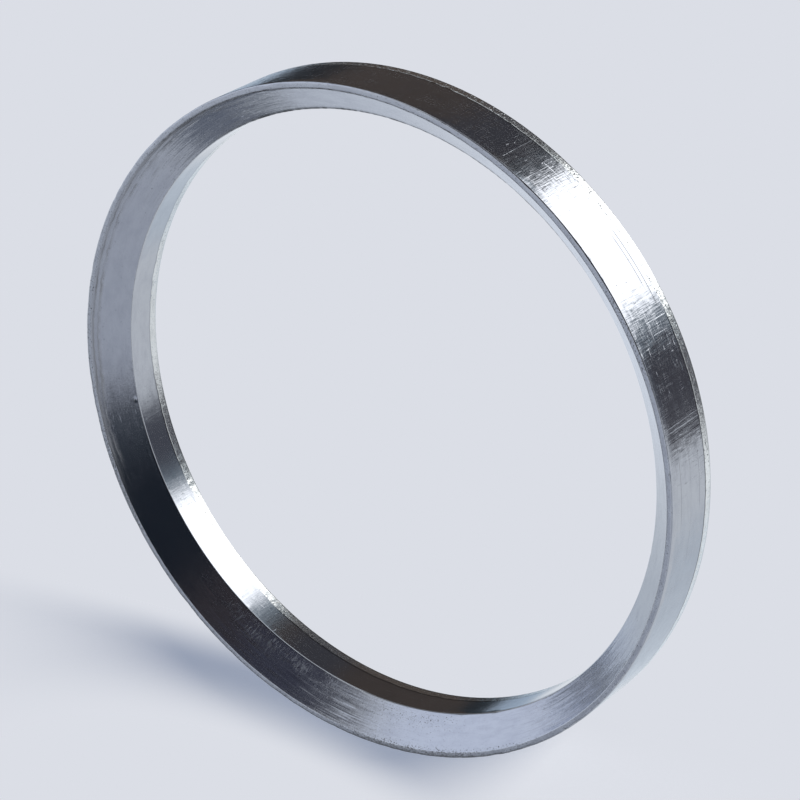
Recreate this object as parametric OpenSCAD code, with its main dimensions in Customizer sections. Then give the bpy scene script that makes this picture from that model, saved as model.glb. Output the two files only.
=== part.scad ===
// Graphite sealing ring for a pressure-seal cover.
//
// The body is a ring of expanded graphite, pressed to shape in a polished die.
// It lies on its flat heel, with the axis up and the origin at the centre of the
// heel face. The top end has a narrow flat land and, inside it, the wide cone
// that the cover wedges against. A thin steel foil cap is pressed into each
// corner of the heel, flush with the graphite, and keeps it from being squeezed
// into the gaps round the ring.

/* [Ring] */
// Outside diameter
outside_d = 100; // [60:1:300]
// Radial width, from the outside to the bore
wall_t = 5; // [3.2:0.1:8]
// Height along the axis, heel to land
ring_h = 10; // [6:0.5:30]

/* [Cone end] */
// Width of the flat land round the mouth of the cone
land_w = 0.85; // [0.3:0.05:2]
// Angle between the cone and the axis, in degrees
cone_angle = 45; // [30:1:60]

/* [Corner caps] */
// Foil thickness
foil_t = 0.2; // [0.1:0.05:0.4]
// Width of the leg that shows on the outside and in the bore
axial_leg = 1.55; // [0.8:0.05:3]
// Width of the leg that lies in the heel face
heel_leg = 1.5; // [0.8:0.05:2]
// Inside radius of the foil's bend
foil_bend_r = 0.15; // [0.1:0.05:0.3]

/* [Edges] */
// Rounding between the outside and the land
outer_edge_r = 0.15; // [0.05:0.05:0.4]
// Rounding between the land and the cone
land_edge_r = 0.25; // [0.05:0.05:0.6]
// Rounding between the cone and the bore
bore_edge_r = 0.5; // [0.1:0.1:1.5]

/* [Hidden] */
$fn = 180;
outside_r = outside_d / 2;
bore_r = outside_r - wall_t;
mouth_r = outside_r - land_w;
cone_depth = (mouth_r - bore_r) / tan(cone_angle);
cone_foot_z = ring_h - cone_depth;
heel_edge_r = foil_bend_r + foil_t;

function polar(length, angle) = length * [cos(angle), sin(angle)];

// What a rounding of radius r takes off a corner of a section. The corner's two
// edges leave it in the directions a1 and a2, with the solid between them.
module corner_waste(r, a1, a2) {
    half = (a2 - a1) / 2;
    tangent = r / tan(half);
    centre = polar(r / sin(half), a1 + half);
    difference() {
        polygon([centre, polar(tangent, a1), -centre, polar(tangent, a2)]);
        translate(centre) circle(r);
    }
}

// Half section of the finished ring, caps included, with the radius along X
module ring_section() {
    difference() {
        polygon([
            [bore_r, 0], [outside_r, 0], [outside_r, ring_h],
            [mouth_r, ring_h], [bore_r, cone_foot_z]
        ]);
        translate([outside_r, 0]) corner_waste(heel_edge_r, 90, 180);
        translate([bore_r, 0]) corner_waste(heel_edge_r, 0, 90);
        translate([outside_r, ring_h]) corner_waste(outer_edge_r, 180, 270);
        translate([mouth_r, ring_h]) corner_waste(land_edge_r, -90 - cone_angle, 0);
        translate([bore_r, cone_foot_z]) corner_waste(bore_edge_r, -90, 90 - cone_angle);
    }
}

// The foil's L section, its outer corner at the origin and its legs along X and Y
module foil_section() {
    difference() {
        square([heel_leg, axial_leg]);
        translate([foil_t, foil_t]) difference() {
            square([heel_leg, axial_leg]);
            corner_waste(foil_bend_r, 0, 90);
        }
    }
}

module outer_foil_section() {
    translate([outside_r, 0]) mirror([1, 0]) foil_section();
}

module inner_foil_section() {
    translate([bore_r, 0]) foil_section();
}

module graphite_ring() {
    color("dimgray")
        rotate_extrude() difference() {
            ring_section();
            outer_foil_section();
            inner_foil_section();
        }
}

module outer_corner_cap() {
    color("silver")
        rotate_extrude() intersection() {
            ring_section();
            outer_foil_section();
        }
}

module inner_corner_cap() {
    color("silver")
        rotate_extrude() intersection() {
            ring_section();
            inner_foil_section();
        }
}

graphite_ring();
outer_corner_cap();
inner_corner_cap();
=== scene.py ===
import math
import bpy
import numpy as np
from mathutils import Matrix, Vector


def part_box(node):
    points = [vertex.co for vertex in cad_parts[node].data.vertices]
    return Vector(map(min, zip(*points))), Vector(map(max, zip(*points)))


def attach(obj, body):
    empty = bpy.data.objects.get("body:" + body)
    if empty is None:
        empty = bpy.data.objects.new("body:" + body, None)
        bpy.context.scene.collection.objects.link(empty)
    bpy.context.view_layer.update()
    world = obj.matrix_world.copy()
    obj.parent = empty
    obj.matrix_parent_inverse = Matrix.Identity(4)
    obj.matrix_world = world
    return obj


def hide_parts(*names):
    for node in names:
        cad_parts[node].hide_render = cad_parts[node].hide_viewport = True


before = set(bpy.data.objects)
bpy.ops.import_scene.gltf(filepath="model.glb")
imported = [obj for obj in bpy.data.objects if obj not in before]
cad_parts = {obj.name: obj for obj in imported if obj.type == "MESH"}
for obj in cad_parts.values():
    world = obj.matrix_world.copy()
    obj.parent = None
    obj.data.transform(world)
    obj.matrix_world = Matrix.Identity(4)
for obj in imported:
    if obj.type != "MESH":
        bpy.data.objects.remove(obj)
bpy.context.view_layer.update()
print("frame loaded")

mm = 0.001


# sRGB hex to the linear colour that Blender's sockets take, times a strength
def linearColour(hexCode, strength=1.0):
    srgb = [int(hexCode[i:i + 2], 16) / 255 for i in (1, 3, 5)]
    linear = [c / 12.92 if c <= 0.04045 else ((c + 0.055) / 1.055) ** 2.4 for c in srgb]
    return (*[c * strength for c in linear], 1.0)


# Adds one node, sets its properties, fills its inputs from values or other nodes' sockets, and gives back
# its outputs. The inputs come by name or number, or as a list in the node's own order.
def addNode(tree, kind, settings=None, inputs=()):
    node = tree.nodes.new("ShaderNode" + kind)
    for name, value in (settings or {}).items():
        setattr(node, name, value)
    for key, value in inputs.items() if isinstance(inputs, dict) else enumerate(inputs):
        if isinstance(value, bpy.types.NodeSocket):
            tree.links.new(value, node.inputs[key])
        else:
            node.inputs[key].default_value = value
    return node.outputs


# Settings that many nodes share
add = {"operation": "ADD"}
addClamped = {"operation": "ADD", "use_clamp": True}
subtract = {"operation": "SUBTRACT"}
multiply = {"operation": "MULTIPLY"}
multiplyClamped = {"operation": "MULTIPLY", "use_clamp": True}
multiplyAdd = {"operation": "MULTIPLY_ADD"}
multiplyAddClamped = {"operation": "MULTIPLY_ADD", "use_clamp": True}
scaleBy = {"operation": "SCALE"}
unitLength = {"operation": "NORMALIZE"}
crossProduct = {"operation": "CROSS_PRODUCT"}
dotProduct = {"operation": "DOT_PRODUCT"}
distanceTo = {"operation": "DISTANCE"}
colourMix = {"data_type": "RGBA"}
smoothRange = {"interpolation_type": "SMOOTHSTEP"}

# The ring's section, in mm and degrees. Its outside and its height are read from the frame.
ring = {
    "outsideR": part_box("graphite_ring")[1].x / mm,
    "height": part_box("graphite_ring")[1].z / mm,
    "wall": 5.0,
    "landWidth": 0.85,
    "coneAngle": 45.0,
    "outerEdgeR": 0.18,
    "landEdgeR": 0.22,
    "boreEdgeR": 0.45,
    "fineStrip": 0.35,  # width of the fine grid beside a foil, and a third of its width under the land
    "turns": 1080,  # grid lines round the ring
}
# A wander is a list of ripples: size in mm, seed, count, and least and most waves round the ring
foil = {
    "thickness": 0.2,
    "axialLeg": 1.55,
    "heelLeg": 1.5,
    "bendR": 0.15,
    "outerWander": [(0.02, 11, 24, (8, 150))],
    "innerWander": [(0.05, 12, 18, (6, 70)), (0.015, 13, 24, (70, 150))],
    "wanderReach": 0.6,  # how far above and below the cut edge the grid wanders with it
    "turns": 2000,
}
# Points in a rounding, mm of fine grid over the cone's foot, and angle from which an edge is sharp
grid = {"roundingPoints": 6, "footStrip": 0.5, "sharpFrom": 60}
outsideR = ring["outsideR"]
boreR = outsideR - ring["wall"]
mouthR = outsideR - ring["landWidth"]
middleR = (boreR + outsideR) / 2
slope = math.radians(ring["coneAngle"])
coneFootZ = ring["height"] - (mouthR - boreR) / math.tan(slope)
stripZ = foil["axialLeg"] + ring["fineStrip"]
coneStrip = 3 * ring["fineStrip"]


# Closed section: corners (radius, height, rounding, spacing to the next corner) become points. A rounding
# is an arc tangent to both edges, and a straight edge is cut into equal steps no longer than its spacing.
def sectionPoints(corners):
    points = []
    count = len(corners)
    for i, (r, z, rounding, spacing) in enumerate(corners):
        here = np.array([r, z])
        before = np.array(corners[i - 1][:2])
        after = np.array(corners[(i + 1) % count][:2])
        inDir = (here - before) / np.linalg.norm(here - before)
        outDir = (after - here) / np.linalg.norm(after - here)
        turn = math.atan2(inDir[0] * outDir[1] - inDir[1] * outDir[0], inDir @ outDir)
        tangent = rounding * math.tan(abs(turn) / 2)
        if rounding:
            side = np.sign(turn)
            centre = here - inDir * tangent + side * rounding * np.array([-inDir[1], inDir[0]])
            start = math.atan2(-side * inDir[0], side * inDir[1])
            angles = start + np.linspace(0, turn, grid["roundingPoints"])
            points.append(centre + rounding * np.stack([np.cos(angles), np.sin(angles)], -1))
        else:
            points.append(here[None])
        beyond = np.array(corners[(i + 2) % count][:2]) - after
        beyond /= np.linalg.norm(beyond)
        bend = math.atan2(outDir[0] * beyond[1] - outDir[1] * beyond[0], outDir @ beyond)
        nextTangent = corners[(i + 1) % count][2] * math.tan(abs(bend) / 2)
        length = np.linalg.norm(after - here) - tangent - nextTangent
        steps = max(1, math.ceil(length / spacing))
        along = tangent + length * np.arange(1, steps) / steps
        points.append(here + along[:, None] * outDir)
    return np.concatenate(points)


# Length along the section from its first point to each point
def sectionDistance(section):
    return np.concatenate([[0], np.cumsum(np.linalg.norm(np.diff(section, axis=0), axis=1))])


# Ripple: a sum of cosines, each with a whole number of waves round the ring, so that it closes on itself,
# and with its own pitch in mm along the section. Its spread is about 1.
def ripple(turn, distance, seed, count, waves, pitch=None):
    random = np.random.default_rng(seed)
    total = 0 * turn * distance
    for _ in range(count):
        turnWaves = random.integers(*waves)
        along = random.choice((-1, 1)) * 2 * np.pi / random.uniform(*pitch) if pitch else 0
        total = total + np.cos(turnWaves * turn + along * distance + random.uniform(0, 2 * np.pi))
    return total / math.sqrt(count / 2)


# Level that wanders round the ring: a middle plus ripples, each given by size, seed, count and waves
def wandering(turn, middle, *ripples):
    level = middle
    for size, seed, count, waves in ripples:
        level = level + size * ripple(turn, 0, seed, count, waves)
    return level


# Ripple pressed inwards: its mean is deeper than nearly all its crests, so that it stays under the surface
def inwardRipple(turn, distance, flaw):
    meanDepth = 2.5
    return meanDepth + ripple(turn, distance, flaw["seed"], flaw["count"], flaw["waves"], flaw["pitch"])


# Bell curve: 1 in the middle, and 0.6 at one width from it
def bell(offset, width):
    return np.exp(-0.5 * (offset / width) ** 2)


# Ramp: 0 below, 1 above, and straight between, "over" being the length of the slope that starts at 0
def rise(value, over):
    return np.clip(value / over, 0, 1)


# How far round the ring a point is from an azimuth given in degrees, in radians, the short way
def turnGap(turn, degrees):
    return (turn - math.radians(degrees) + np.pi) % (2 * np.pi) - np.pi


# Stretch of the ring: 1 within "half" degrees of its middle, then falling smoothly to 0 over "soft" more
def stretch(turn, middle, half, soft):
    share = np.clip((half + soft - np.degrees(np.abs(turnGap(turn, middle)))) / soft, 0, 1)
    return share * share * (3 - 2 * share)


# Sum of stretches, each given by its share, middle, half length and softness
def patches(turn, rows):
    total = 0
    for share, middle, half, soft in rows:
        total = total + share * stretch(turn, middle, half, soft)
    return total


# Nicks in an edge: bells round the ring times bells across the edge, with random place, length and depth
def nicks(turn, edgeDistance, seed, count, lengths, depths, reach):
    random = np.random.default_rng(seed)
    total = 0 * turn * edgeDistance
    for _ in range(count):
        middle = random.uniform(-180, 180)
        length = random.uniform(*lengths)
        depth = random.uniform(*depths)
        nick = bell(turnGap(turn, middle) * outsideR, length / 2) * bell(edgeDistance, reach)
        total = np.maximum(total, depth * nick)
    return total


# Axial wander of a foil's cut edge, the same for the foil and for the graphite pressed against it: a ripple
# that is full at the edge and fades above and below it
def edgeWander(turn, r, z):
    outer = wandering(turn, 0, *foil["outerWander"])
    inner = wandering(turn, 0, *foil["innerWander"])
    fade = np.clip(1 - np.abs(z - foil["axialLeg"]) / foil["wanderReach"], 0, 1)
    return np.where(r > middleR, outer, inner) * fade * fade * (3 - 2 * fade)


# Distance down the cone from its upper edge: the steps inwards and down, each times its share of the slope
def coneDistance(r, z):
    return (mouthR - r) * math.sin(slope) + (ring["height"] - z) * math.cos(slope)


# Lines pressed into the cone, in mm, with distances down the cone. "upper", "lower", "broken" and "share"
# wander: each is a middle and then ripples of size, seed, count and waves. A stretch is its middle azimuth,
# half length and softness in degrees. The photo shows the sharp line close under the land, faint nearly
# everywhere and strong along one stretch, and past its end two shallow broad lines in a dull strip. The
# lines are pressed in, and the darker colour along them and in the dull strip is painted shade.
crease = {
    "depth": 0.035,
    "upper": (0.13, (0.04, 21, 14, (5, 60)), (0.02, 22, 20, (80, 240))),
    "lower": (1.0, (0.08, 24, 10, (3, 30)), (0.03, 25, 20, (80, 240))),
    "broken": (0.4, (0.7, 26, 24, (20, 260))),
    "sharp": {"faint": 0.05, "strong": (0.5, 0.4), "stretch": (-30, 28, 20), "width": 0.055},
    "shallow": {
        "share": (0.34, (0.1, 27, 16, (5, 60))),
        "stretch": (30, 34, 16),
        "belowUpper": 0.2,
        "widths": (0.08, 0.07),
    },
    "dull": {"share": 0.2, "middle": 0.2, "width": 0.4},
    "ontoLand": 0.1,  # how far they may reach over the cone's upper edge
}


# How much a point is in the lines: bells about the sharp, the two shallow and the dull one, on the cone
def creaseShare(turn, r, z):
    sharp, shallow, dull = crease["sharp"], crease["shallow"], crease["dull"]
    place = coneDistance(r, z)
    upper = wandering(turn, *crease["upper"])
    lower = wandering(turn, *crease["lower"])
    broken = np.clip(wandering(turn, *crease["broken"]), 0, 1)
    least, more = sharp["strong"]
    deep = broken * sharp["faint"] + stretch(turn, *sharp["stretch"]) * (least + more * broken)
    past = stretch(turn, *shallow["stretch"])
    light = past * wandering(turn, *shallow["share"])
    upperWidth, lowerWidth = shallow["widths"]
    share = deep * bell(place - upper, sharp["width"])
    belowUpper = bell(place - upper - shallow["belowUpper"], upperWidth)
    share = share + light * (belowUpper + bell(place - lower, lowerWidth))
    share = share + dull["share"] * past * bell(place - dull["middle"], dull["width"])
    return share * ((r < mouthR + crease["ontoLand"]) & (z > coneFootZ))


# The lip at the cone's foot, low, with painted shade along it. The photo shows it as a thin dark line along
# one stretch.
lip = {
    "height": 0.03,
    "stretch": (-45, 30, 20),
    "share": (0.8, (0.2, 37, 20, (20, 300))),
    "inside": 0.1,  # its middle is this far outwards and up from the sharp corner
    "width": 0.24,
}


# How much a point is in the lip: a bell about its middle
def lipShare(turn, r, z):
    around = stretch(turn, *lip["stretch"]) * wandering(turn, *lip["share"])
    return around * bell(np.hypot(r - boreR - lip["inside"], z - coneFootZ - lip["inside"]), lip["width"])


# Flaws of the pressed graphite, in mm and degrees of azimuth. Each row of nicks is seed, count, least and
# most length, least and most depth, and reach from the edge.
graphiteFlaws = {
    "landOuterNicks": (31, 90, (0.25, 1.6), (0.01, 0.08), 0.14),
    "landInnerNicks": (33, 60, (0.3, 1.4), (0.003, 0.018), 0.12),
    "coneFootNicks": (34, 24, (0.3, 1.5), (0.01, 0.05), 0.2),
    "crumbled": {
        "depth": 0.02, "reach": 0.12, "least": 0.35, "stretch": (140, 32, 20), "ripple": (32, 30, (60, 520)),
    },
    "coneRipple": {
        "depth": 0.0016, "least": 0.25, "patches": [(1, 4, 10, 20), (1, 172, 10, 20)],
        "seed": 35, "count": 30, "waves": (4, 70), "pitch": (0.9, 5.0), "fadeIn": 0.5, "fadeOut": 0.4,
    },
    "pit": {"depth": 0.14, "azimuth": 62.2, "up": 0.42, "around": 0.11, "across": 0.13},
    "aboveFoil": 0.02,  # the graphite under and behind a foil stays smooth
}


# Relief of the graphite along its outward normal, in mm: nicks and crumbled edges, lines and ripples in the
# cone, a pit at its foot, and a low lip there where the punch met the mandrel
def graphiteRelief(turn, r, z, distance):
    crumbled, rippled, pit = (graphiteFlaws[key] for key in ("crumbled", "coneRipple", "pit"))
    landOuter = np.hypot(r - outsideR, z - ring["height"])
    landInner = np.hypot(r - mouthR, z - ring["height"])
    coneFoot = np.hypot(r - boreR, z - coneFootZ)
    pressed = z > foil["axialLeg"] + graphiteFlaws["aboveFoil"]
    depth = nicks(turn, landOuter, *graphiteFlaws["landOuterNicks"])
    worn = crumbled["least"] + (1 - crumbled["least"]) * stretch(turn, *crumbled["stretch"])
    rough = np.abs(ripple(turn, 0, *crumbled["ripple"]))
    depth += crumbled["depth"] * worn * rough * bell(landOuter, crumbled["reach"])
    depth += nicks(turn, landInner, *graphiteFlaws["landInnerNicks"])
    depth += nicks(turn, coneFoot, *graphiteFlaws["coneFootNicks"])
    depth += crease["depth"] * creaseShare(turn, r, z)
    onCone = rise(coneDistance(r, z), rippled["fadeIn"]) * rise(z - coneFootZ, rippled["fadeOut"])
    onCone = onCone * (r < mouthR)
    strength = rippled["least"] + patches(turn, rippled["patches"])
    depth += rippled["depth"] * onCone * strength * inwardRipple(turn, distance, rippled)
    around = bell(turnGap(turn, pit["azimuth"]) * boreR, pit["around"])
    depth += pit["depth"] * around * bell(coneFoot - pit["up"], pit["across"]) * (z > coneFootZ)
    return (lip["height"] * lipShare(turn, r, z) - depth) * pressed


# Flaws of the foil, in mm: dents, longer waves, and a crumple along the cut edge
foilFlaws = {
    "dents": {"depth": 0.0018, "seed": 41, "count": 60, "waves": (380, 980), "pitch": (0.4, 2.0)},
    "waves": {"depth": 0.003, "seed": 42, "count": 24, "waves": (60, 260), "pitch": (1.0, 6.0)},
    "crumple": {"depth": 0.012, "ripple": (43, 40, (240, 960)), "reach": 0.12},
    "wallDepth": 0.1,  # the flaws are only on the legs on the walls, this deep
    "heelFade": 0.3,  # and fade towards the heel over this height
}


# Relief of a foil, inwards from the walls: dents from the coarse graphite under it, waves and the crumple
def foilRelief(turn, r, z, distance):
    dents, waves, crumple = (foilFlaws[key] for key in ("dents", "waves", "crumple"))
    shown = (r > outsideR - foilFlaws["wallDepth"]) | (r < boreR + foilFlaws["wallDepth"])
    dented = dents["depth"] * inwardRipple(turn, distance, dents)
    waved = waves["depth"] * inwardRipple(turn, distance, waves)
    rough = np.abs(ripple(turn, 0, *crumple["ripple"]))
    crumpled = crumple["depth"] * rough * bell(z - foil["axialLeg"], crumple["reach"])
    return -(dented + waved + crumpled) * shown * rise(z, foilFlaws["heelFade"])


# Where the finish differs, and where shade is painted beside the foils, in mm. A patch is its share, middle
# azimuth, half length and softness in degrees.
# Crumbs lie at the land's outer edge, on the land, and on the cone under the land and over the foot.
marks = {
    "edgeFade": 0.1,  # land and cone fade into each other over this
    "footFade": 0.2,  # cone and bore likewise
    "landBelow": 0.05,  # the land's finish reaches this far down its edges
    "boreReach": 0.3,  # the bore's finish reaches this far into the cone
    "heelTop": 0.45,  # the heel's finish reaches up to here
    "heelFade": 0.15,
    "shadeGapsOutside": [(1, -84, 11, 6)],  # stretches of the foils' cut edges with no painted shade
    "shadeGapsInside": [(1, 95, 13, 8), (0.65, 34, 20, 14)],
    # Painted shade in the crevice beside a foil's cut edge, and a rim of painted shade towards the heel, on
    # the walls
    "grooveShade": {"above": 0.05, "width": 0.07, "rim": 0.35, "rimTop": 0.5, "rimFade": 0.2, "wallDepth": 0.3},
    "edgeCrumbs": {"width": 0.2, "patches": [(1.1, 151, 17, 12)]},
    "landCrumbs": [(0.7, 151, 9, 10), (0.8, 76, 6, 8), (0.4, -98, 6, 6), (0.3, 49, 8, 6), (-0.2, 112, 8, 8)],
    "landCrumbsLeast": 0.2,
    "upperCrumbs": {"middle": 0.3, "width": 0.25, "patches": [(0.5, 153, 18, 10)]},
    "lowerCrumbs": {"middle": 1.0, "width": 0.6, "least": 0.4, "patches": [(0.3, 143, 12, 8)]},
    "streaksLeast": 0.08,
    "mainStreaks": {"patches": [(1, 119, 14, 10)], "footShare": 0.6, "footWidth": 1.2},
    "otherStreaks": [(0.6, -2, 14, 14), (0.6, -170, 9, 14)],
    "strokes": {"patches": [(1, 121, 9, 12)], "middle": 4.4, "width": 0.9},
    "cutEdgeInside": [(1, 72, 10, 5)],  # the only stretch of the bore where the foil's cut edge stands out
    "hidden": 5.0,  # distance from the cut edge that stands for none
}


# Writes three numbers for each point of the grid into one attribute
def addAttribute(mesh, name, parts, shape):
    values = np.stack([np.broadcast_to(part, shape) for part in parts], -1)
    attribute = mesh.attributes.new(name, "FLOAT_VECTOR", "POINT")
    attribute.data.foreach_set("vector", values.astype(np.float32).ravel())


# "lay" unrolls the surface in mm: round the ring, wrapped on a circle so that no pattern has a seam, and
# along the section. "where" is the share of end (land, heel and its edges), cone and bore, the rest being
# the outside, "dirtAndShade" the share of crease and lip (pressed in, their darkening painted shade), of
# painted shade in the groove beside a foil and of crumbled patch, and "wear" the share of streaks and of
# strokes and the distance in mm from the foils' cut edges where those stand out. Shares are products of
# ramps, bells and patches.
def markSurface(mesh, turn, r, z, distance):
    shape = (turn.shape[0], r.shape[1])
    edgeFade, grooveShade = marks["edgeFade"], marks["grooveShade"]
    downCone = coneDistance(r, z)
    aboveFoot = z - coneFootZ
    onLand = rise(r - mouthR + edgeFade, edgeFade) * (z > ring["height"] - marks["landBelow"])
    onEnd = onLand + rise(marks["heelTop"] - z, marks["heelFade"])
    onCone = rise(mouthR + edgeFade - r, edgeFade) * rise(aboveFoot, marks["footFade"])
    onBore = (r < boreR + marks["boreReach"]) * (1 - onCone) * (1 - onEnd)
    addAttribute(mesh, "lay", [outsideR * np.cos(turn), outsideR * np.sin(turn), distance], shape)
    addAttribute(mesh, "where", [onEnd, onCone, onBore], shape)

    # Crease and lip: their share also makes the surface matt, and their darkening is painted shade
    sootAndShade = np.clip(creaseShare(turn, r, z) + lipShare(turn, r, z), 0, 1)
    outer = r > middleR
    # Painted shade beside a foil's cut edge and towards the heel, on the walls, left out along some
    # stretches
    shadeGaps = np.where(outer, patches(turn, marks["shadeGapsOutside"]), patches(turn, marks["shadeGapsInside"]))
    shadeBesideFoil = bell(z - foil["axialLeg"] - grooveShade["above"], grooveShade["width"])
    shadeBesideFoil = shadeBesideFoil + grooveShade["rim"] * rise(grooveShade["rimTop"] - z, grooveShade["rimFade"])
    onWall = (r > outsideR - grooveShade["wallDepth"]) | (r < boreR + grooveShade["wallDepth"])
    landEdge, upper, lower = (marks[key] for key in ("edgeCrumbs", "upperCrumbs", "lowerCrumbs"))
    fromEdge = np.hypot(r - outsideR, z - ring["height"])
    crumbs = bell(fromEdge, landEdge["width"]) * patches(turn, landEdge["patches"])
    crumbs = crumbs + onLand * (marks["landCrumbsLeast"] + patches(turn, marks["landCrumbs"]))
    underLand = bell(downCone - upper["middle"], upper["width"])
    crumbs = crumbs + onCone * patches(turn, upper["patches"]) * underLand
    overFoot = lower["least"] + bell(aboveFoot - lower["middle"], lower["width"])
    crumbs = crumbs + onCone * patches(turn, lower["patches"]) * overFoot
    addAttribute(mesh, "dirtAndShade", [sootAndShade, shadeBesideFoil * onWall * (1 - shadeGaps), crumbs], shape)

    main, strokes = marks["mainStreaks"], marks["strokes"]
    streaks = patches(turn, main["patches"]) * (1 - main["footShare"] * bell(aboveFoot, main["footWidth"]))
    streaks = streaks + patches(turn, marks["otherStreaks"]) + marks["streaksLeast"]
    struck = patches(turn, strokes["patches"]) * bell(downCone - strokes["middle"], strokes["width"])
    cutEdgeHidden = np.where(outer, 0, 1 - patches(turn, marks["cutEdgeInside"]))
    fromCut = foil["axialLeg"] - z + marks["hidden"] * cutEdgeHidden
    addAttribute(mesh, "wear", [onCone * streaks, onCone * struck, fromCut], shape)


# Revolved piece: point (turn, k) lies at (r cos turn, r sin turn, z), where (r, z) is section point k, moved
# along the axis by edgeWander and along its outward normal by the relief at its turn and its distance
def revolve(name, section, turns, relief):
    distance = sectionDistance(section)
    unit = np.roll(section, -1, 0) - section
    unit /= np.linalg.norm(unit, axis=1, keepdims=True)
    mean = unit + np.roll(unit, 1, 0)
    mean /= np.linalg.norm(mean, axis=1, keepdims=True)
    normal = np.stack([mean[:, 1], -mean[:, 0]], -1)
    turn = np.linspace(0, 2 * np.pi, turns, endpoint=False)[:, None]
    r, z = section[None, :, 0], section[None, :, 1]
    height = relief(turn, r, z, distance[None])
    radius = r + height * normal[None, :, 0]
    level = z + height * normal[None, :, 1] + edgeWander(turn, r, z)
    points = np.stack([radius * np.cos(turn), radius * np.sin(turn), level], -1) * mm
    count = len(section)
    i, k = np.meshgrid(np.arange(turns), np.arange(count), indexing="ij")
    nextI, nextK = (i + 1) % turns, (k + 1) % count
    faces = np.stack([i * count + k, nextI * count + k, nextI * count + nextK, i * count + nextK], -1)
    mesh = bpy.data.meshes.new(name)
    mesh.vertices.add(turns * count)
    mesh.vertices.foreach_set("co", points.astype(np.float32).ravel())
    mesh.loops.add(faces.size)
    mesh.loops.foreach_set("vertex_index", faces.astype(np.int32).ravel())
    mesh.polygons.add(turns * count)
    mesh.polygons.foreach_set("loop_start", np.arange(0, faces.size, 4, dtype=np.int32))
    mesh.update(calc_edges=True)
    mesh.polygons.foreach_set("use_smooth", np.ones(turns * count, bool))
    mesh.set_sharp_from_angle(angle=math.radians(grid["sharpFrom"]))
    markSurface(mesh, turn, r, z, distance[None])
    piece = bpy.data.objects.new(name, mesh)
    bpy.context.scene.collection.objects.link(piece)
    print(name, "section", count, "triangles", 2 * turns * count)
    return piece


# The sections' corners, anticlockwise, in mm: radius, height, rounding, and spacing to the next corner
graphiteCorners = [
    (boreR + foil["heelLeg"], 0, 0, 2.0),
    (outsideR - foil["heelLeg"], 0, 0, 0.2),
    (outsideR - foil["heelLeg"], foil["thickness"], 0, 1.3),
    (outsideR - foil["thickness"], foil["thickness"], foil["bendR"], 1.3),
    (outsideR - foil["thickness"], foil["axialLeg"], 0, 0.2),
    (outsideR, foil["axialLeg"], 0, 0.08),
    (outsideR, stripZ, 0, 1.2),
    (outsideR, ring["height"], ring["outerEdgeR"], 0.12),
    (mouthR, ring["height"], ring["landEdgeR"], 0.09),
    (mouthR - coneStrip * math.sin(slope), ring["height"] - coneStrip * math.cos(slope), 0, 0.5),
    (boreR + grid["footStrip"], coneFootZ + grid["footStrip"], 0, 0.12),
    (boreR, coneFootZ, ring["boreEdgeR"], 0.7),
    (boreR, stripZ, 0, 0.08),
    (boreR, foil["axialLeg"], 0, 0.2),
    (boreR + foil["thickness"], foil["axialLeg"], 0, 1.3),
    (boreR + foil["thickness"], foil["thickness"], foil["bendR"], 1.3),
    (boreR + foil["heelLeg"], foil["thickness"], 0, 0.2),
]
outerCapCorners = [
    (outsideR - foil["heelLeg"], 0, 0, 0.5),
    (outsideR, 0, foil["bendR"] + foil["thickness"], 0.14),
    (outsideR, foil["axialLeg"], 0, 0.1),
    (outsideR - foil["thickness"], foil["axialLeg"], 0, 0.6),
    (outsideR - foil["thickness"], foil["thickness"], foil["bendR"], 0.6),
    (outsideR - foil["heelLeg"], foil["thickness"], 0, 0.2),
]
innerCapCorners = [
    (boreR, 0, foil["bendR"] + foil["thickness"], 0.5),
    (boreR + foil["heelLeg"], 0, 0, 0.2),
    (boreR + foil["heelLeg"], foil["thickness"], 0, 0.6),
    (boreR + foil["thickness"], foil["thickness"], foil["bendR"], 0.6),
    (boreR + foil["thickness"], foil["axialLeg"], 0, 0.1),
    (boreR, foil["axialLeg"], 0, 0.14),
]
graphiteSection = sectionPoints(graphiteCorners)
outerSection = sectionPoints(outerCapCorners)
innerSection = sectionPoints(innerCapCorners)
pieces = {}
for name, section, turns, relief, node, slot in (
    ("graphiteRing", graphiteSection, ring["turns"], graphiteRelief, "graphite_ring", "graphite"),
    ("outerCornerCap", outerSection, foil["turns"], foilRelief, "outer_corner_cap", "steel_foil"),
    ("innerCornerCap", innerSection, foil["turns"], foilRelief, "inner_corner_cap", "steel_foil"),
):
    piece = revolve(name, section, turns, relief)
    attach(piece, "root")
    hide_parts(node)
    pieces[name] = piece
print("pieces made")

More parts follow.
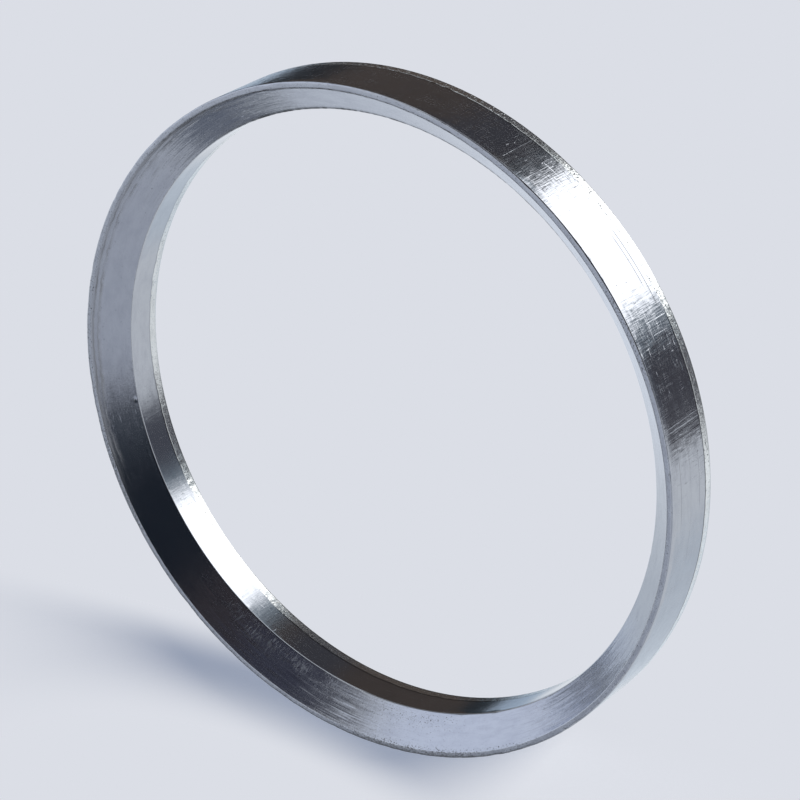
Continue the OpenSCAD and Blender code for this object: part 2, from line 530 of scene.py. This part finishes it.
# Expanded graphite pressed in a polished die: its flakes lie flat, so it shines like a dark, bluish metal,
# with lines that the die drew along the walls and streaks round the cone.
# A layer leans the surface by noise stretched to "size", in mm round the ring and over the section. "lean"
# is how far it leans those two ways for the noise's full range, in radians, "haze" the roughness it adds,
# and "faces" its share on outside, ends, cone and bore. Roughness, pores, specks and dull have a value each.
# Real lines are finer than 0.1 mm: they are drawn twice as coarse, so that the picture can hold them.
graphite = {
    "colour": "#AFB2B8",
    "shade": "#A6A9B0",  # less well pressed patches
    "sootAndShade": "#292C33",  # painted shade in creases, beside the foils and at the lip, and loose matt graphite in pores and crumbs
    "roughness": (0.15, 0.27, 0.17, 0.13),
    "pores": (0.04, 0.3, 0.08, 0.02),
    "specks": (0.3, 0.35, 0.6, 0.2),
    "dull": (0.0, 0.0, 0.0, 0.0),
    "grain": (0.26, 0.2),  # its size, as a layer's
    "layers": [
        {"size": (0.12, 4.0), "lean": (0.09, 0.0), "haze": 0.1, "detail": 1, "faces": (1, 0.4, 0.15, 0.3)},
        {"size": (3.0, 0.11), "lean": (0.07, 0.08), "haze": 0.1, "detail": 1, "faces": (1, 0.5, 0.6, 0.2)},
        {"size": (0.14, 1.6), "lean": (0.15, 0.0), "detail": 1, "faces": (1, 0.5, 0.2, 0.3)},
        {"size": (0.2, 0.2), "lean": (0.12, 0.18), "detail": 2, "faces": (0.15, 1.5, 0.7, 0.3)},
        {"size": (9.0, 3.0), "lean": (0.02, 0.03), "detail": 1, "faces": (1, 1, 0.2, 0.5)},
    ],
    # On the cone: long streaks round it, some of them sooty, and short hazy strokes down its slope
    "streaks": {"size": (6.0, 0.2), "lean": (0.35, 0.2), "detail": 2, "haze": 0.15, "sootAndShade": 0.2},
    "strokes": {"size": (0.16, 1.0), "lean": (0.14, 0.06), "detail": 1, "haze": 0.5},
    # Flecks are the parts of such noise above "from": short straight scratches and dents
    "flecks": [
        {"size": (0.13, 1.6), "lean": (0.18, 0.0), "from": 0.715, "faces": (1, 0.4, 0.2, 0.5)},
        {"size": (0.13, 1.1), "lean": (-0.18, 0.0), "from": 0.72, "faces": (1, 0.4, 0.2, 0.5)},
        {"size": (1.6, 0.12), "lean": (0.14, 0.10), "from": 0.69, "faces": (1, 0.4, 0.8, 0.3)},
        {"size": (0.2, 0.2), "lean": (0.3, 0.5), "from": 0.77, "faces": (1, 1, 0.6, 0.6)},
        {"size": (0.45, 0.3), "lean": (0.3, 0.6), "from": 0.79, "faces": (1, 0.4, 0.3, 0.6)},
    ],
    # Scratches: azimuth and height of both ends on the outside, width, lean round the ring, and darkening
    "scratches": [
        (-65.0, 8.6, -65.0, 1.7, 0.07, -0.11, 0.0),
        (-63.0, 6.2, -63.2, 2.0, 0.06, -0.11, 0.0),
        (-98.1, 6.2, -98.2, 1.9, 0.07, 0.07, 0.0),
        (-100.2, 5.8, -100.3, 2.8, 0.06, 0.06, 0.0),
        (-98.3, 6.05, -100.6, 6.1, 0.06, 0.08, 0.0),
        (-98.9, 3.4, -100.8, 3.7, 0.05, 0.07, 0.0),
        (-101.0, 3.25, -102.6, 3.3, 0.06, 0.1, 0.0),
        (-102.5, 3.9, -102.5, 3.0, 0.06, 0.11, 0.0),
        (-105.9, 2.5, -107.2, 2.5, 0.06, 0.18, 0.0),
        (-69.3, 3.8, -72.6, 3.7, 0.08, -0.05, 0.0),
        (-70.0, 1.9, -73.9, 2.5, 0.06, 0.05, 0.1),
        (-113.9, 9.4, -113.8, 1.8, 0.08, -0.09, 0.0),
        (-114.6, 9.4, -114.6, 1.8, 0.10, -0.07, 0.0),
        (-115.2, 9.4, -115.1, 1.7, 0.08, 0.05, 0.2),
        (-116.2, 9.4, -116.1, 1.9, 0.09, 0.05, 0.25),
        (-117.3, 8.0, -117.1, 3.0, 0.06, 0.03, 0.15),
    ],
    # Lines drawn round the outside: middle azimuth, half length in degrees, height, width and darkening
    "drawnLines": [
        (-124.0, 8.0, 7.7, 0.07, 0.4),
        (-128.0, 11.0, 5.3, 0.05, 0.25),
        (-123.0, 7.0, 3.1, 0.07, 0.4),
        (-129.0, 20.0, 8.6, 0.04, 0.2),
        (-90.0, 8.0, 2.5, 0.11, 0.8),
        (-88.5, 5.0, 3.3, 0.11, 0.75),
    ],
}
# Rolled stainless foil, pressed on by the die: brighter and more neutral than graphite, dented by the
# graphite grains under it
steelFoil = {
    "colour": "#E7E9E9",
    "shade": "#CFD1D1",
    # dark colour of pores and rubbed graphite, and of the painted shade along the cut edge and towards the
    # heel
    "sootAndShade": "#3E4042",
    "roughness": (0.21, 0.21, 0.21, 0.2),
    "pores": (0.75, 0.3, 0.6, 0.6),
    "specks": (0.4, 0.2, 0.4, 0.4),
    "dull": (0.04, 0.1, 0.1, 0.17),  # graphite rubbed into it
    "grain": (0.17, 0.4),
    "layers": [
        {"size": (0.17, 0.5), "lean": (0.16, 0.6), "detail": 1, "faces": (1, 0, 1, 0.5)},
        {"size": (0.3, 0.26), "lean": (0.12, 0.4), "detail": 2, "faces": (1, 0, 1, 0.4)},
        {"size": (5.0, 0.15), "lean": (0.0, 0.3), "detail": 2, "faces": (1, 0.1, 1, 0.5)},
    ],
    "flecks": [
        {"size": (0.25, 0.4), "lean": (0.2, 0.5), "from": 0.62, "faces": (1.2, 0, 1, 0.6)},
    ],
    # The strip that the die pressed in along the cut edge: its width in mm, and its lean over the section
    "cutEdge": {"width": 0.2, "lean": 0.32, "faces": (1, 0, 0, -1)},
    "scratches": [],
    "drawnLines": [],
}
# Noise patterns that both materials have: size round the ring and over the section, detail, seed, and the
# levels of the noise at which each starts and is full
patterns = {
    "patchy": (5.0, 3.0, 1, 52, 0.25, 0.55),  # where the haze is strong
    "unbroken": (1.2, 3.0, 2, 51, 0.32, 0.44),  # where the cut edge is pressed in
    "mottle": (3.0, 1.1, 4, 41, 0.4, 0.75),
    "specks": (0.24, 0.2, 1, 43, 0.73, 0.78),
}
levels = {"haze": (0.5, 0.72), "sootAndShade": (0.53, 0.66), "pores": (0.62, 0.74), "crumbs": (0.66, 0.76)}
# The rest of the noise: where its seeds start, how a seed moves it, its roughness, the detail of grain and
# flecks, and how far above its "from" a fleck is full. A line is full within "core" of its half width, and
# a line or strip fades out from "fadeFrom" of its length or width.
drawing = {
    "seeds": {"layers": 1, "flecks": 31, "grain": 42},
    "seedStep": (17.3, 5.1, 11.7),
    "roughness": 0.6,
    "grainDetail": 2,
    "fleckDetail": 1,
    "fleckEdge": 0.06,
    "core": 0.25,
    "fadeFrom": 0.7,
}
# How much crease and lip, groove and crumbs darken the colour: on crease, lip and groove that is painted
# shade. In a patch the level for crumbs sinks by its share times "crumbsLower", and they are full from a
# share of 1 / "crumbsFull". Then how matt crumbs and crease are, how much roughness that adds, and how much
# the mottle adds.
darken = {"crease": 0.9, "grooveShade": 0.95, "crumbs": 0.6, "crumbsLower": 0.2, "crumbsFull": 4.0}
matten = {"crumbs": 0.4, "crease": 0.5, "roughness": 0.6, "mottle": 0.03}


# Metal whose normal is N + a T + b B, where T points round the ring, B over the section, and a and b are
# the sum of its layers, flecks and scratches. Its colour and roughness vary with broader noise.
def pressedMetal(name, look):
    material = bpy.data.materials.new(name)
    material.use_nodes = True
    tree = material.node_tree
    tree.nodes.clear()
    lay = addNode(tree, "Attribute", {"attribute_name": "lay"})["Vector"]
    marked = []
    for source in ("where", "dirtAndShade", "wear"):
        packed = addNode(tree, "Attribute", {"attribute_name": source})["Vector"]
        marked.append(addNode(tree, "SeparateXYZ", None, [packed]))
    shares, (inCrease, inGrooveShade, inCrumbs), (inStreaks, inStrokes, fromCut) = marked

    # The outside is where ends, cone and bore aren't: outside + ends' share (ends - outside) + ...
    def byFace(outside, ends, cone, bore):
        total = outside
        for share, value in zip(shares, (ends, cone, bore)):
            total = addNode(tree, "Math", multiplyAdd, [share, value - outside, total])[0]
        return total

    # Noise on the unrolled surface: "lay" divided by the noise's size, and shifted by its seed times a step
    def stretchedNoise(acrossRound, across, detail, seed):
        scale = (1 / acrossRound, 1 / acrossRound, 1 / across)
        shift = tuple(seed * step for step in drawing["seedStep"])
        placed = addNode(tree, "VectorMath", multiplyAdd, [lay, scale, shift])[0]
        return addNode(tree, "TexNoise", {"noise_dimensions": "3D"}, {
            "Vector": placed, "Scale": 1.0, "Detail": detail, "Roughness": drawing["roughness"],
        })

    # Share of a value: 0 at its start, 1 where it is full and straight between, times other shares
    def shareOf(value, start, full, *others):
        share = addNode(tree, "MapRange", None, [value, start, full])["Result"]
        for other in others:
            share = addNode(tree, "Math", multiply, [share, other])[0]
        return share

    # Share of a named pattern's noise, times other shares
    def patternShare(pattern, *others):
        *noise, start, full = patterns[pattern]
        return shareOf(stretchedNoise(*noise)["Fac"], start, full, *others)

    # Point of the unrolled outside at an azimuth and a height: (R cos, R sin, distance along the section)
    sectionZ, sectionPlace = graphiteSection[:, 1], sectionDistance(graphiteSection)
    outsidePart = np.nonzero(graphiteSection[:, 0] > outsideR - 1e-6)[0]

    def unrolled(azimuth, z):
        angle = math.radians(azimuth)
        place = float(np.interp(z, sectionZ[outsidePart], sectionPlace[outsidePart]))
        return Vector((outsideR * math.cos(angle), outsideR * math.sin(angle), place))

    leans = []
    rubbed = byFace(*look["dull"])
    # Painted shade along the creases and the lip
    darkening = addNode(tree, "Math", multiplyAdd, [inCrease, darken["crease"], rubbed])[0]
    roughness = byFace(*look["roughness"])
    patchy = patternShare("patchy")
    layers = [(layer, byFace(*layer["faces"])) for layer in look["layers"]]
    for kind, share in (("streaks", inStreaks), ("strokes", inStrokes)):
        if kind in look:
            layers.append((look[kind], share))
    for seed, (layer, share) in enumerate(layers, drawing["seeds"]["layers"]):
        noise = stretchedNoise(*layer["size"], layer["detail"], seed)
        a, b = layer["lean"]
        centred = [noise["Color"], (a, b, 0), (-a / 2, -b / 2, 0)]
        lean = addNode(tree, "VectorMath", multiplyAdd, centred)[0]
        leans.append(addNode(tree, "VectorMath", scaleBy, {0: lean, "Scale": share})[0])
        if "haze" in layer:
            strong = shareOf(noise["Fac"], *levels["haze"], share, patchy)
            roughness = addNode(tree, "Math", multiplyAdd, [strong, layer["haze"], roughness])[0]
        if "sootAndShade" in layer:
            sooty = shareOf(noise["Fac"], *levels["sootAndShade"], share)
            darkening = addNode(tree, "Math", multiplyAdd, [sooty, layer["sootAndShade"], darkening])[0]
    for seed, fleck in enumerate(look["flecks"], drawing["seeds"]["flecks"]):
        noise = stretchedNoise(*fleck["size"], drawing["fleckDetail"], seed)["Fac"]
        start = fleck["from"]
        amount = shareOf(noise, start, start + drawing["fleckEdge"], byFace(*fleck["faces"]))
        lean = {0: (*fleck["lean"], 0), "Scale": amount}
        leans.append(addNode(tree, "VectorMath", scaleBy, lean)[0])
    if "cutEdge" in look:
        strip = look["cutEdge"]
        width = strip["width"]
        within = (width, width * drawing["fadeFrom"])
        amount = shareOf(fromCut, *within, patternShare("unbroken"), byFace(*strip["faces"]))
        lean = {0: (0, strip["lean"], 0), "Scale": amount}
        leans.append(addNode(tree, "VectorMath", scaleBy, lean)[0])

    # A drawn line is the points near its height, as far round as its length
    roundRing = addNode(tree, "VectorMath", multiply, [lay, (1, 1, 0)])[0]
    alongSection = addNode(tree, "SeparateXYZ", None, [lay])["Z"]
    for azimuth, half, z, width, dark in look["drawnLines"]:
        middle = unrolled(azimuth, z)
        length = math.radians(half) * outsideR
        above = addNode(tree, "Math", subtract, [alongSection, middle.z])[0]
        above = addNode(tree, "Math", {"operation": "ABSOLUTE"}, [above])[0]
        away = addNode(tree, "VectorMath", distanceTo, [roundRing, (middle.x, middle.y, 0)])["Value"]
        part = shareOf(away, length, length * drawing["fadeFrom"])
        line = shareOf(above, width, width * drawing["core"], part)
        darkening = addNode(tree, "Math", multiplyAdd, [line, dark, darkening])[0]

    # A scratch is the points near the straight line between its ends
    for azimuthA, zA, azimuthB, zB, width, lean, dark in look["scratches"]:
        start = unrolled(azimuthA, zA)
        run = unrolled(azimuthB, zB) - start
        offset = addNode(tree, "VectorMath", subtract, [lay, start])[0]
        along = addNode(tree, "VectorMath", dotProduct, [offset, run / run.length_squared])
        along = addNode(tree, "Math", multiplyClamped, [along["Value"], 1.0])[0]
        nearest = addNode(tree, "VectorMath", scaleBy, {0: run, "Scale": along})[0]
        gap = addNode(tree, "VectorMath", distanceTo, [offset, nearest])["Value"]
        line = shareOf(gap, width, width * drawing["core"])
        leans.append(addNode(tree, "VectorMath", scaleBy, {0: (lean, 0, 0), "Scale": line})[0])
        if dark:
            darkening = addNode(tree, "Math", multiplyAdd, [line, dark, darkening])[0]

    total = leans[0]
    for lean in leans[1:]:
        total = addNode(tree, "VectorMath", add, [total, lean])[0]
    a, b, _ = addNode(tree, "SeparateXYZ", None, [total])
    place = addNode(tree, "TexCoord")["Object"]
    normal = addNode(tree, "NewGeometry")["Normal"]
    roundWay = addNode(tree, "VectorMath", crossProduct, [(0, 0, 1), place])[0]
    roundWay = addNode(tree, "VectorMath", unitLength, [roundWay])[0]
    acrossWay = addNode(tree, "VectorMath", crossProduct, [normal, roundWay])[0]
    leaned = normal
    for way, amount in ((roundWay, a), (acrossWay, b)):
        part = addNode(tree, "VectorMath", scaleBy, {0: way, "Scale": amount})[0]
        leaned = addNode(tree, "VectorMath", add, [leaned, part])[0]
    leaned = addNode(tree, "VectorMath", unitLength, [leaned])[0]

    mottle = patternShare("mottle")
    colour = addNode(tree, "Mix", colourMix, {
        "Factor": mottle, 6: linearColour(look["colour"]), 7: linearColour(look["shade"]),
    })[2]
    grain = stretchedNoise(*look["grain"], drawing["grainDetail"], drawing["seeds"]["grain"])["Fac"]
    pores = shareOf(grain, *levels["pores"], byFace(*look["pores"]))
    # Crumbs are grain above a level that is lower where the patch is stronger
    raised = addNode(tree, "Math", multiplyAdd, [inCrumbs, darken["crumbsLower"], grain])[0]
    inPatch = addNode(tree, "Math", multiplyClamped, [inCrumbs, darken["crumbsFull"]])[0]
    crumbled = shareOf(raised, *levels["crumbs"], inPatch)
    specks = patternShare("specks", byFace(*look["specks"]))
    pores = addNode(tree, "Math", multiplyAdd, [crumbled, darken["crumbs"], pores])[0]
    darkening = addNode(tree, "Math", add, [darkening, specks])[0]
    # Painted shade beside the foils' cut edges and towards the heel
    darkening = addNode(tree, "Math", multiplyAdd, [inGrooveShade, darken["grooveShade"], darkening])[0]
    darkening = addNode(tree, "Math", addClamped, [darkening, pores])[0]
    colour = addNode(tree, "Mix", colourMix, {
        "Factor": darkening, 6: colour, 7: linearColour(look["sootAndShade"]),
    })[2]
    matt = addNode(tree, "Math", multiply, [inCrease, matten["crease"]])[0]
    matt = addNode(tree, "Math", multiplyAddClamped, [crumbled, matten["crumbs"], matt])[0]
    roughness = addNode(tree, "Math", multiplyAdd, [mottle, matten["mottle"], roughness])[0]
    roughness = addNode(tree, "Math", multiplyAddClamped, [matt, matten["roughness"], roughness])[0]
    shader = addNode(tree, "BsdfPrincipled", None, {
        "Base Color": colour,
        "Metallic": addNode(tree, "Math", subtract, [1.0, matt])[0],
        "Roughness": roughness,
        "Normal": leaned,
    })
    addNode(tree, "OutputMaterial", None, {"Surface": shader["BSDF"]})
    return material


pieces["graphiteRing"].data.materials.append(pressedMetal("diePressedGraphite", graphite))
foilMaterial = pressedMetal("rolledStainlessFoil", steelFoil)
for name in ("outerCornerCap", "innerCornerCap"):
    pieces[name].data.materials.append(foilMaterial)
print("materials made")

# What the polished faces mirror: a pale backdrop, and on it zones. "at" and "half" are a zone's middle and
# half width round the horizon, "low" and "high" its elevations, "soft" and "fade" the softness of its sides
# and of its lower and upper edges, all in degrees, then its colour and strength. Later ones lie on top.
studio = {
    "backdrop": "#F6FAFF",
    "columns": ("at", "half", "low", "high", "soft", "fade", "colour", "strength"),
    "zones": {
        "sidePaper": (136, 18, -75, -40, 12, 12, "#E4F0FC", 1.0),
        "sidePaperFoot": (148, 28, -80, -47, 12, 1, "#E0EAF5", 1.0),
        "farPaper": (90, 13, -45, -30, 10, 5, "#E8F0FC", 1.1),
        "nearPaper": (71, 10, -32, -8, 9, 6, "#E1E9F3", 1.0),
        "eastPaper": (108, 14, -30, -6, 8, 6, "#ECF3FF", 1.0),
        "bluePaper": (61, 9.5, -62, -40, 8, 5, "#B6C9DE", 1.0),
        "blueTable": (61, 6, -13, -1, 5, 5, "#E0EAFA", 1.2),
        "tableEdge": (52.5, 8.5, -8, 5, 4, 4, "#6880B0", 1.0),
        "greyWall": (-178, 40, 8, 62, 8, 8, "#CED4E1", 1.0),
        "blueWall": (30, 30, 3, 50, 12, 6, "#E5EDFF", 1.3),
        "ceilingEdge": (90, 30, 38, 90, 7, 6, "#DDE4F1", 1.08),
        "ceilingWest": (110, 16, 40, 90, 5, 6, "#CED5E4", 1.08),
        "ceilingShade": (101, 21, 4, 40, 4, 3, "#4F545E", 1.0),
        "ceilingCorner": (112, 16, 8, 43, 3, 2, "#33363D", 1.0),
        "stand": (129, 13.5, -6, 10, 7, 5, "#626B7E", 1.0),
        "leftFlag": (-118.3, 18.7, -80, -28, 6, 4, "#5C5F69", 1.0),
        "leftFlagFoot": (-129.8, 20.3, -80, -46, 1.5, 1, "#525158", 1.0),
        "rightFlag": (-1.5, 50.5, -80, -28, 2.5, 4, "#564E4A", 1.0),
        "rightFlagFoot": (3.2, 57.3, -80, -47, 3, 1, "#59514D", 1.0),
        "rightFlagEnd": (44.5, 6.5, -80, -28, 3, 4, "#31393F", 1.0),
        "rightFlagEndFoot": (49, 11, -80, -47, 5, 1, "#303338", 1.0),
        "rightFlagStart": (-27, 9, -80, -28, 7, 4, "#4D4D53", 1.0),
        "softboxGlow": (-80, 32, -80, -26, 6, 4, "#82929E", 1.0),
        "underTable": (-77, 152, -100, -68, 3, 3, "#1B1C1F", 1.0),
        "softbox": (-81, 21.8, -47.5, -24, 7, 1, "#FFFFFF", 3.0),
        "softboxFootShade": (-47, 5, -100, -47.5, 4, 1, "#3E4852", 1.0),
        "softboxFoot": (-73, 22, -100, -47.5, 3, 1, "#FFFFFF", 3.0),
        "softboxFootSide": (-86, 15, -100, -47.5, 6, 1, "#FFFFFF", 3.0),
        "rightTable": (10, 24, -24, 2, 5, 4, "#86888C", 1.0),
        "darkStudio": (-76.5, 66.5, 22, 90, 14, 12, "#484347", 1.0),
        "doorGlow": (-129, 9, 30, 74, 9, 10, "#4C535D", 1.0),
        "darkTable": (-77, 52, -4, 32, 6, 5, "#2B2B2E", 1.0),
        "blueDark": (-31, 14, 24, 74, 10, 10, "#494B5A", 1.0),
        "darkDoor": (-100.5, 23.5, 30, 74, 12, 10, "#232A34", 1.0),
    },
}


# Mixes one zone over the colour so far. Its share is 1 inside, and falls smoothly to 0 over its soft edges.
def addZone(tree, direction, flatDirection, below, zone):
    azimuth, half, soft = (math.radians(zone[key]) for key in ("at", "half", "soft"))
    middle = (math.cos(azimuth), math.sin(azimuth), 0)
    toward = addNode(tree, "VectorMath", dotProduct, [flatDirection, middle])["Value"]
    outside, inside = math.cos(min(half + soft, math.pi)), math.cos(max(half - soft, 0))
    share = addNode(tree, "MapRange", smoothRange, [toward, outside, inside])["Result"]
    height = addNode(tree, "SeparateXYZ", None, [direction])["Z"]
    for edge, side in ((zone["low"], 1), (zone["high"], -1)):
        if abs(edge) < 90:
            outside = math.sin(math.radians(edge - side * zone["fade"]))
            inside = math.sin(math.radians(edge + side * zone["fade"]))
            part = addNode(tree, "MapRange", smoothRange, [height, outside, inside])["Result"]
            share = addNode(tree, "Math", multiply, [share, part])["Value"]
    return addNode(tree, "Mix", colourMix, {
        "Factor": share, 6: below, 7: linearColour(zone["colour"], zone["strength"]),
    })[2]


world = bpy.data.worlds.new("studio")
bpy.context.scene.world = world
world.use_nodes = True
world.cycles.sampling_method = "NONE"
worldTree = world.node_tree
worldTree.nodes.clear()
direction = addNode(worldTree, "TexCoord")["Generated"]
flat = addNode(worldTree, "VectorMath", multiply, [direction, (1, 1, 0)])["Vector"]
flat = addNode(worldTree, "VectorMath", unitLength, [flat])["Vector"]
mirrored = addNode(worldTree, "RGB")["Color"]
mirrored.default_value = linearColour(studio["backdrop"])
for values in studio["zones"].values():
    zone = dict(zip(studio["columns"], values))
    mirrored = addZone(worldTree, direction, flat, mirrored, zone)

# The floor is pale paper in soft light from the upper right. Only part of its colour answers to the lamp:
# "shade" is what a full shadow leaves of it, and the rest glows toward the camera alone. The paper is
# "clean" inside the ring and outside a band at the lower left, where alone the photo's paper shows a
# shadow: only that part answers. The band's near edge is straight, and its far edge is an arc about
# "shadowCentre". Lengths are in mm, angles in degrees, and "reach" is half the floor's side in metres.
stage = {
    "paper": "#DBDEE6",
    "shade": (0.37, 0.42, 0.52),
    "clean": 0.95,
    "cleanMargin": 1.0,  # how far the clean paper's edge lies under the ring
    "shadowWay": (-0.83, 0.56, 0.0),
    "shadowFrom": (43.0, 51.0),
    "shadowCentre": (-105.5, 121.9, 0.0),
    "shadowTo": (93.0, 104.5),
    "reach": 3.0,
    "ambient": 0.05,
    "keyAzimuth": -88.0,
    "keyElevation": 15.5,
    "keyAngle": 24.0,
    "keyStrength": 6.0,
}
path = addNode(worldTree, "LightPath")
seen = addNode(worldTree, "Mix", colourMix, {
    "Factor": path["Is Camera Ray"], 6: (stage["ambient"],) * 3 + (1,), 7: linearColour(stage["paper"]),
})[2]
seen = addNode(worldTree, "Mix", colourMix, {"Factor": path["Is Glossy Ray"], 6: seen, 7: mirrored})[2]
background = addNode(worldTree, "Background", None, {"Color": seen})
addNode(worldTree, "OutputWorld", None, {"Surface": background["Background"]})

keyLift, keyAzimuth = math.radians(stage["keyElevation"]), math.radians(stage["keyAzimuth"])
key = bpy.data.lights.new("key", "SUN")
key.energy = stage["keyStrength"]
key.angle = math.radians(stage["keyAngle"])
keyLamp = bpy.data.objects.new("key", key)
flatPart = math.cos(keyLift)
fromLamp = Vector((math.cos(keyAzimuth) * flatPart, math.sin(keyAzimuth) * flatPart, math.sin(keyLift)))
keyLamp.rotation_euler = fromLamp.to_track_quat("Z", "Y").to_euler()
keyLamp.visible_glossy = False
bpy.context.scene.collection.objects.link(keyLamp)

reach = stage["reach"]
floorCorners = [(-reach, -reach, 0), (reach, -reach, 0), (reach, reach, 0), (-reach, reach, 0)]
floorMesh = bpy.data.meshes.new("floor")
floorMesh.from_pydata(floorCorners, [], [(0, 1, 2, 3)])
floor = bpy.data.objects.new("floor", floorMesh)
bpy.context.scene.collection.objects.link(floor)
floor.visible_glossy = False

# Pale matt paper: its colour is the glow plus what the lamp and ambient light give to the answering part
floorMaterial = bpy.data.materials.new("palePaper")
floorMaterial.use_nodes = True
floorTree = floorMaterial.node_tree
floorTree.nodes.clear()
keyShare = stage["keyStrength"] * math.sin(keyLift) / math.pi + stage["ambient"]
paper = np.array(linearColour(stage["paper"])[:3])
shade = paper * stage["shade"]
margin = stage["cleanMargin"]
onFloor = addNode(floorTree, "TexCoord")["Object"]
fromAxis = addNode(floorTree, "VectorMath", {"operation": "LENGTH"}, [onFloor])["Value"]
underRing = [fromAxis, (boreR + margin) * mm, (outsideR - margin) * mm, 1 - stage["clean"], 1.0]
answering = addNode(floorTree, "MapRange", smoothRange, underRing)["Result"]
across = addNode(floorTree, "VectorMath", dotProduct, [onFloor, stage["shadowWay"]])
centre = tuple(mm * value for value in stage["shadowCentre"])
away = addNode(floorTree, "VectorMath", distanceTo, [onFloor, centre])
for measured, (near, far) in ((across, stage["shadowFrom"]), (away, stage["shadowTo"])):
    edge = [measured["Value"], near * mm, far * mm]
    inBand = addNode(floorTree, "MapRange", smoothRange, edge)["Result"]
    answering = addNode(floorTree, "Math", multiply, [answering, inBand])["Value"]
lit = addNode(floorTree, "Mix", colourMix, {
    "Factor": answering, 6: (0, 0, 0, 1), 7: (*((paper - shade) / keyShare), 1),
})
glow = addNode(floorTree, "Mix", colourMix, {"Factor": answering, 6: (*paper, 1), 7: (*shade, 1)})
paperShader = addNode(floorTree, "BsdfDiffuse", None, {"Color": lit[2]})
glowShader = addNode(floorTree, "Emission", None, {
    "Color": glow[2], "Strength": addNode(floorTree, "LightPath")["Is Camera Ray"],
})
both = addNode(floorTree, "AddShader", None, [paperShader[0], glowShader[0]])
addNode(floorTree, "OutputMaterial", None, {"Surface": both[0]})
floorMesh.materials.append(floorMaterial)
print("stage made")

# The view: aim point and distance in mm, elevation above the floor and turn about the line of sight in
# degrees, and lens, sensor and start of the clipping in mm
view = {
    "aim": (0.9, -4.4, 5.0),
    "distance": 445.5,
    "elevation": 47.31,
    "roll": -121.01,
    "lens": 144.5,
    "sensor": 36.0,
    "clipStart": 10.0,
}
viewLift, roll = math.radians(view["elevation"]), math.radians(view["roll"])
backward = Vector((0, -math.cos(viewLift), math.sin(viewLift)))
level = Vector((1, 0, 0))
upright = backward.cross(level)
rightward = level * math.cos(roll) + upright * math.sin(roll)
upward = backward.cross(rightward)
standing = (Vector(view["aim"]) + backward * view["distance"]) * mm
turned = Matrix((rightward, upward, backward)).transposed().to_4x4()
cameraData = bpy.data.cameras.new("camera")
cameraData.lens = view["lens"]
cameraData.sensor_width = view["sensor"]
cameraData.clip_start = view["clipStart"] * mm
camera = bpy.data.objects.new("camera", cameraData)
camera.matrix_world = Matrix.Translation(standing) @ turned
bpy.context.scene.collection.objects.link(camera)
bpy.context.scene.camera = camera
bpy.context.scene.view_settings.view_transform = "Standard"
